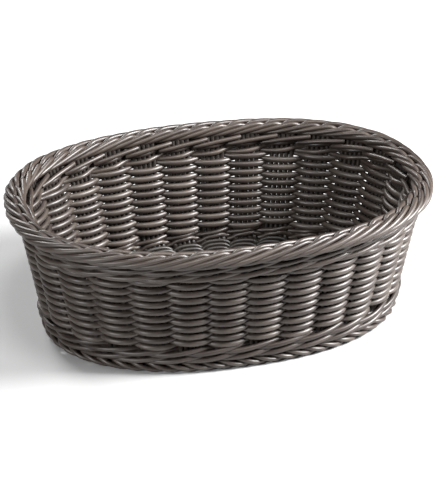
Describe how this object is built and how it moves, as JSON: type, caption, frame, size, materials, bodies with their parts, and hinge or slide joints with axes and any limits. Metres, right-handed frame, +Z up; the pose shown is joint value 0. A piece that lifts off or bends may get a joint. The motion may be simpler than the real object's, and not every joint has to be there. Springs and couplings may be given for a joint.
{
  "type": "bread basket",
  "caption": "Oval open basket for bread, woven from round plastic strand, with a rolled rim border, bundled upright stakes and a plaited foot border.",
  "frame": {"origin": "on the surface it stands on, under the middle of the basket", "axes": "+X along the long side, +Y across it, +Z up out of the basket"},
  "size_m": [0.365, 0.2594, 0.123],
  "materials": {
    "base_strand": "satin extruded strand, warm grey-brown",
    "stake_strand": "satin extruded strand, warm grey-brown",
    "weave_strand": "satin extruded strand, warm grey-brown",
    "wale_strand": "satin extruded strand, warm grey-brown",
    "border_strand": "satin extruded strand, warm grey-brown"
  },
  "bodies": {
    "root": {"base_mat": "base_strand", "base_round_1": "base_strand", "base_round_2": "base_strand", "base_round_3": "base_strand", "foot_border": "border_strand", "stake_01": "stake_strand", "stake_02": "stake_strand", "stake_03": "stake_strand", "stake_04": "stake_strand", "stake_05": "stake_strand", "stake_06": "stake_strand", "stake_07": "stake_strand", "stake_08": "stake_strand", "stake_09": "stake_strand", "stake_10": "stake_strand", "stake_11": "stake_strand", "stake_12": "stake_strand", "stake_13": "stake_strand", "stake_14": "stake_strand", "stake_15": "stake_strand", "stake_16": "stake_strand", "stake_17": "stake_strand", "stake_18": "stake_strand", "stake_19": "stake_strand", "stake_20": "stake_strand", "stake_21": "stake_strand", "stake_22": "stake_strand", "stake_23": "stake_strand", "stake_24": "stake_strand", "stake_25": "stake_strand", "stake_26": "stake_strand", "stake_27": "stake_strand", "stake_28": "stake_strand", "lower_wale_1": "wale_strand", "lower_wale_2": "wale_strand", "weave_row_01": "weave_strand", "weave_row_02": "weave_strand", "weave_row_03": "weave_strand", "weave_row_04": "weave_strand", "weave_row_05": "weave_strand", "weave_row_06": "weave_strand", "weave_row_07": "weave_strand", "weave_row_08": "weave_strand", "weave_row_09": "weave_strand", "weave_row_10": "weave_strand", "weave_row_11": "weave_strand", "weave_row_12": "weave_strand", "weave_row_13": "weave_strand", "weave_row_14": "weave_strand", "weave_row_15": "weave_strand", "weave_row_16": "weave_strand", "weave_row_17": "weave_strand", "weave_row_18": "weave_strand", "weave_row_19": "weave_strand", "upper_wale_1": "wale_strand", "upper_wale_2": "wale_strand", "rim_border": "border_strand"}
  },
  "joints": []
}
